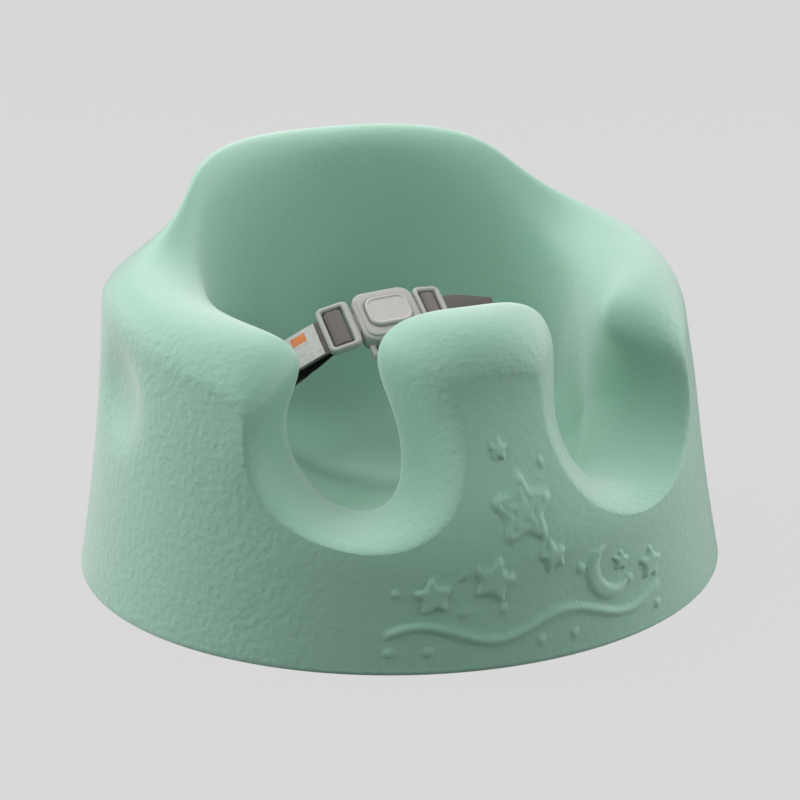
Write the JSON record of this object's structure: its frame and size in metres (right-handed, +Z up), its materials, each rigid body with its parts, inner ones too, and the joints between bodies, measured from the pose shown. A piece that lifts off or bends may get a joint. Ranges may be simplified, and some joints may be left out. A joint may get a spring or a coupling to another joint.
{
  "type": "baby floor seat",
  "caption": "Round moulded foam floor seat with a high curved back, raised arms, two leg holes beside a pommel and a lap and crotch harness with a press-button buckle.",
  "frame": {"origin": "centre of the round base where it meets the floor", "axes": "+Z up, the front with the pommel and leg holes faces -Y, +X to the right seen from the front"},
  "size_m": [0.379, 0.379, 0.2316],
  "materials": {
    "foam": "soft moulded foam with a fine pebbled skin, mint green",
    "buckle_plastic": "smooth satin warm grey moulding",
    "button_plastic": "smooth satin warm grey moulding",
    "webbing": "woven grey webbing with a dark reverse face",
    "tag": "white satin ribbon, blank with one plain orange block",
    "anchor_plastic": "black glass-filled moulding",
    "steel": "plated steel"
  },
  "bodies": {
    "seat": {"foam_body": "foam", "left_anchor_plate": "anchor_plastic", "right_anchor_plate": "anchor_plastic", "crotch_anchor_plate": "anchor_plastic", "left_anchor_pin": "steel", "right_anchor_pin": "steel", "crotch_anchor_pin": "steel", "left_lap_strap": "webbing", "right_lap_strap": "webbing", "crotch_strap": "webbing", "left_tag": "tag", "buckle_back_shell": "buckle_plastic", "buckle_front_shell": "buckle_plastic", "button_spring": "steel", "left_catch_spring": "steel", "right_catch_spring": "steel"},
    "left_tongue": {"left_tongue": "buckle_plastic"},
    "right_tongue": {"right_tongue": "buckle_plastic"},
    "release_button": {"release_button": "button_plastic"}
  },
  "joints": [
    {"name": "left_tongue_slide", "type": "slide", "parent": "seat", "child": "left_tongue", "axis": [-0.9951, 0.0609, -0.0785], "range_m": [0, 0.02], "deforming": ["left_lap_strap", "left_tag", "left_catch_spring"]},
    {"name": "right_tongue_slide", "type": "slide", "parent": "seat", "child": "right_tongue", "axis": [0.9951, -0.0609, 0.0785], "range_m": [0, 0.02], "deforming": ["right_lap_strap", "right_catch_spring"]},
    {"name": "release_press", "type": "slide", "parent": "seat", "child": "release_button", "axis": [0.0987, 0.5174, -0.85], "range_m": [0, 0.002], "stiffness_N_per_m": 900, "springref_m": -0.001, "deforming": ["button_spring", "left_catch_spring", "right_catch_spring"]}
  ]
}
